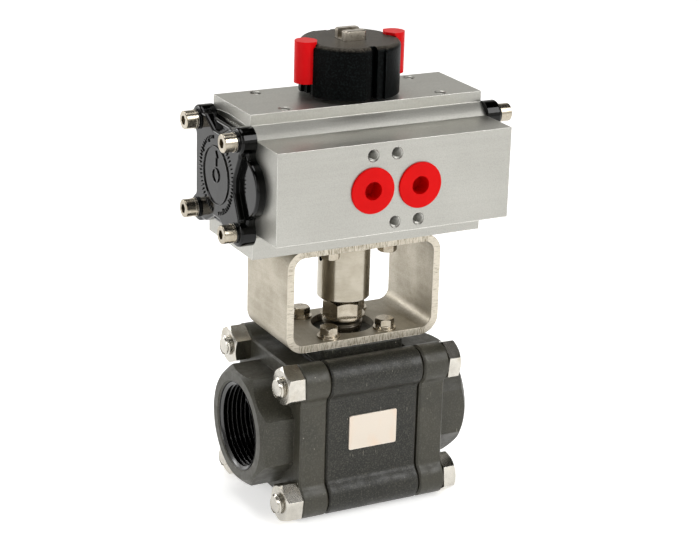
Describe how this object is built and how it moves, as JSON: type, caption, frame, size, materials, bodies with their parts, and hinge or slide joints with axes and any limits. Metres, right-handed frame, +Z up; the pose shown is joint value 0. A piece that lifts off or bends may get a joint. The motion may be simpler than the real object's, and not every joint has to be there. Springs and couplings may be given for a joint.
{
  "type": "pneumatic actuated valve",
  "caption": "Three-piece threaded ball valve with a tube bracket, coupling and a double-acting rack-and-pinion pneumatic actuator with position indicator.",
  "frame": {"origin": "the stem axis on the valve's flat underside", "axes": "+X along the pipe towards the right-hand end, +Z up the stem, -Y towards the air ports"},
  "size_m": [0.1468, 0.0873, 0.226],
  "materials": {
    "phosphated_steel": "satin black phosphate coating on forged steel",
    "graphite": "compressed graphite ring",
    "ptfe": "white PTFE",
    "stainless": "bright stainless steel",
    "zinc_steel": "bright plated steel",
    "nameplate": "pale champagne metal, plain",
    "bracket_steel": "pickled stainless tube with sawn edges",
    "anodised_aluminium": "silver anodised, fine satin",
    "black_coated_aluminium": "gloss black coating",
    "nitrile": "black nitrile rubber",
    "acetal": "natural bearing plastic",
    "red_plug": "red moulded plug",
    "nickel_steel": "nickel plated steel",
    "spring_steel": "dark spring steel",
    "black_plastic": "black nylon with a fine texture",
    "red_plastic": "red moulded plastic",
    "turned_steel": "turned stainless steel",
    "ball_steel": "polished stainless ball",
    "cast_aluminium": "die-cast aluminium"
  },
  "bodies": {
    "housing": {"valve_body": "phosphated_steel", "pipe_end_left": "phosphated_steel", "pipe_end_right": "phosphated_steel", "body_seal_left": "graphite", "body_seal_right": "graphite", "seat_left": "ptfe", "seat_right": "ptfe", "stem_thrust_washer": "ptfe", "stem_packing": "ptfe", "gland_ring": "stainless", "body_bolts": "zinc_steel", "body_nuts": "zinc_steel", "nameplate": "nameplate", "mounting_bracket": "bracket_steel", "pad_flat_washers": "stainless", "pad_spring_washers": "stainless", "pad_screws": "stainless", "actuator_spring_washers": "stainless", "actuator_screws": "stainless", "actuator_body": "anodised_aluminium", "end_cap_left": "black_coated_aluminium", "end_cap_right": "black_coated_aluminium", "cap_seal_left": "nitrile", "cap_seal_right": "nitrile", "cap_washers_left": "stainless", "cap_washers_right": "stainless", "cap_screws_left": "stainless", "cap_screws_right": "stainless", "pinion_bearing_lower": "acetal", "pinion_bearing_upper": "acetal", "port_plug_left": "red_plug", "port_plug_right": "red_plug"},
    "drive_shaft": {"pinion": "nickel_steel", "pinion_orings": "nitrile", "pinion_thrust_washer": "acetal", "snap_ring": "spring_steel", "indicator_cap": "black_plastic", "indicator_insert_left": "red_plastic", "indicator_insert_right": "red_plastic"},
    "stem": {"stem": "stainless", "disc_springs": "spring_steel", "lock_washer": "stainless", "stem_nut": "stainless", "coupling": "turned_steel", "coupling_set_screw": "spring_steel"},
    "ball": {"ball": "ball_steel"},
    "piston_left": {"piston_left": "cast_aluminium", "piston_oring_left": "nitrile", "piston_band_left": "acetal", "rack_pad_left": "acetal"},
    "piston_right": {"piston_right": "cast_aluminium", "piston_oring_right": "nitrile", "piston_band_right": "acetal", "rack_pad_right": "acetal"}
  },
  "joints": [
    {"name": "drive_shaft_turn", "type": "hinge", "parent": "housing", "child": "drive_shaft", "pos_m": [0, 0, 0.1639], "axis": [0, 0, -1], "range_deg": [0, 90]},
    {"name": "stem_turn", "type": "hinge", "parent": "housing", "child": "stem", "pos_m": [0, 0, 0.0799], "axis": [0, 0, -1], "range_deg": [0, 90]},
    {"name": "ball_turn", "type": "hinge", "parent": "housing", "child": "ball", "pos_m": [0, 0, 0.0392], "axis": [0, 0, -1], "range_deg": [0, 90]},
    {"name": "piston_left_slide", "type": "slide", "parent": "housing", "child": "piston_left", "axis": [1, 0, 0], "range_m": [0, 0.01374]},
    {"name": "piston_right_slide", "type": "slide", "parent": "housing", "child": "piston_right", "axis": [-1, 0, 0], "range_m": [0, 0.01374]}
  ],
  "couplings": [
    {"joint": "piston_right_slide", "follows": "piston_left_slide", "ratio": 1},
    {"joint": "drive_shaft_turn", "follows": "piston_left_slide", "rad_per_m": 114.29},
    {"joint": "stem_turn", "follows": "piston_left_slide", "rad_per_m": 114.29},
    {"joint": "ball_turn", "follows": "piston_left_slide", "rad_per_m": 114.29}
  ]
}
